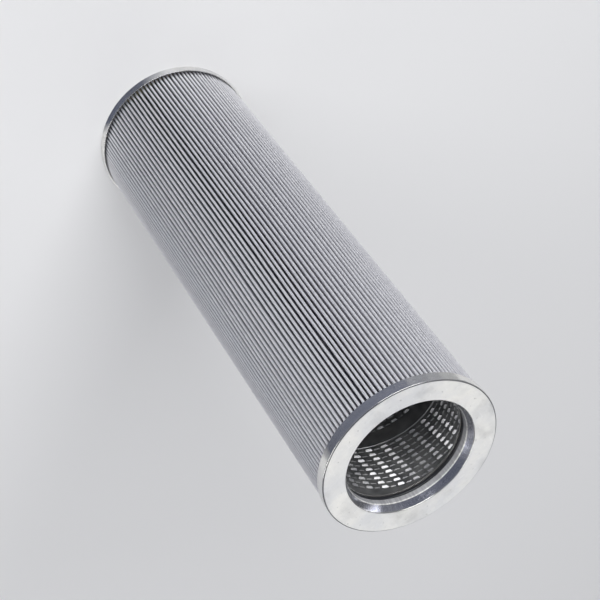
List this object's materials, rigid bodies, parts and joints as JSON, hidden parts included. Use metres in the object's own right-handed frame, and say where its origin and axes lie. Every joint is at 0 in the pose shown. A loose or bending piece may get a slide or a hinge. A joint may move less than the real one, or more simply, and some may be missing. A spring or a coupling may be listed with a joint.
{
  "type": "hydraulic filter element",
  "caption": "Cylindrical hydraulic filter element with a pleated wire-mesh pack, a spiral-wound pierced core and two turned end caps, open at one end.",
  "frame": {"origin": "centre of the closed rear face, on which the element stands", "axes": "+Z along the element's axis from the closed rear face to the open front face; +Y towards the part of the bore wall that the picture shows"},
  "size_m": [0.14, 0.14, 0.463],
  "materials": {
    "cap_metal": "turned, lightly scuffed",
    "seal_rubber": "smooth moulded",
    "potting_resin": "cast resin",
    "core_steel": "bright zinc-plated strip",
    "wire_mesh": "fine woven wire",
    "fleece": "non-woven, matt",
    "glass_fibre": "non-woven, matt"
  },
  "bodies": {
    "root": {"front_end_cap": "cap_metal", "bore_seal": "seal_rubber", "front_potting": "potting_resin", "core_tube": "core_steel", "outer_wire_mesh": "wire_mesh", "upstream_fleece": "fleece", "glass_fibre_media": "glass_fibre", "downstream_fleece": "fleece", "inner_wire_mesh": "wire_mesh", "rear_potting": "potting_resin", "rear_end_cap": "cap_metal"}
  },
  "joints": []
}
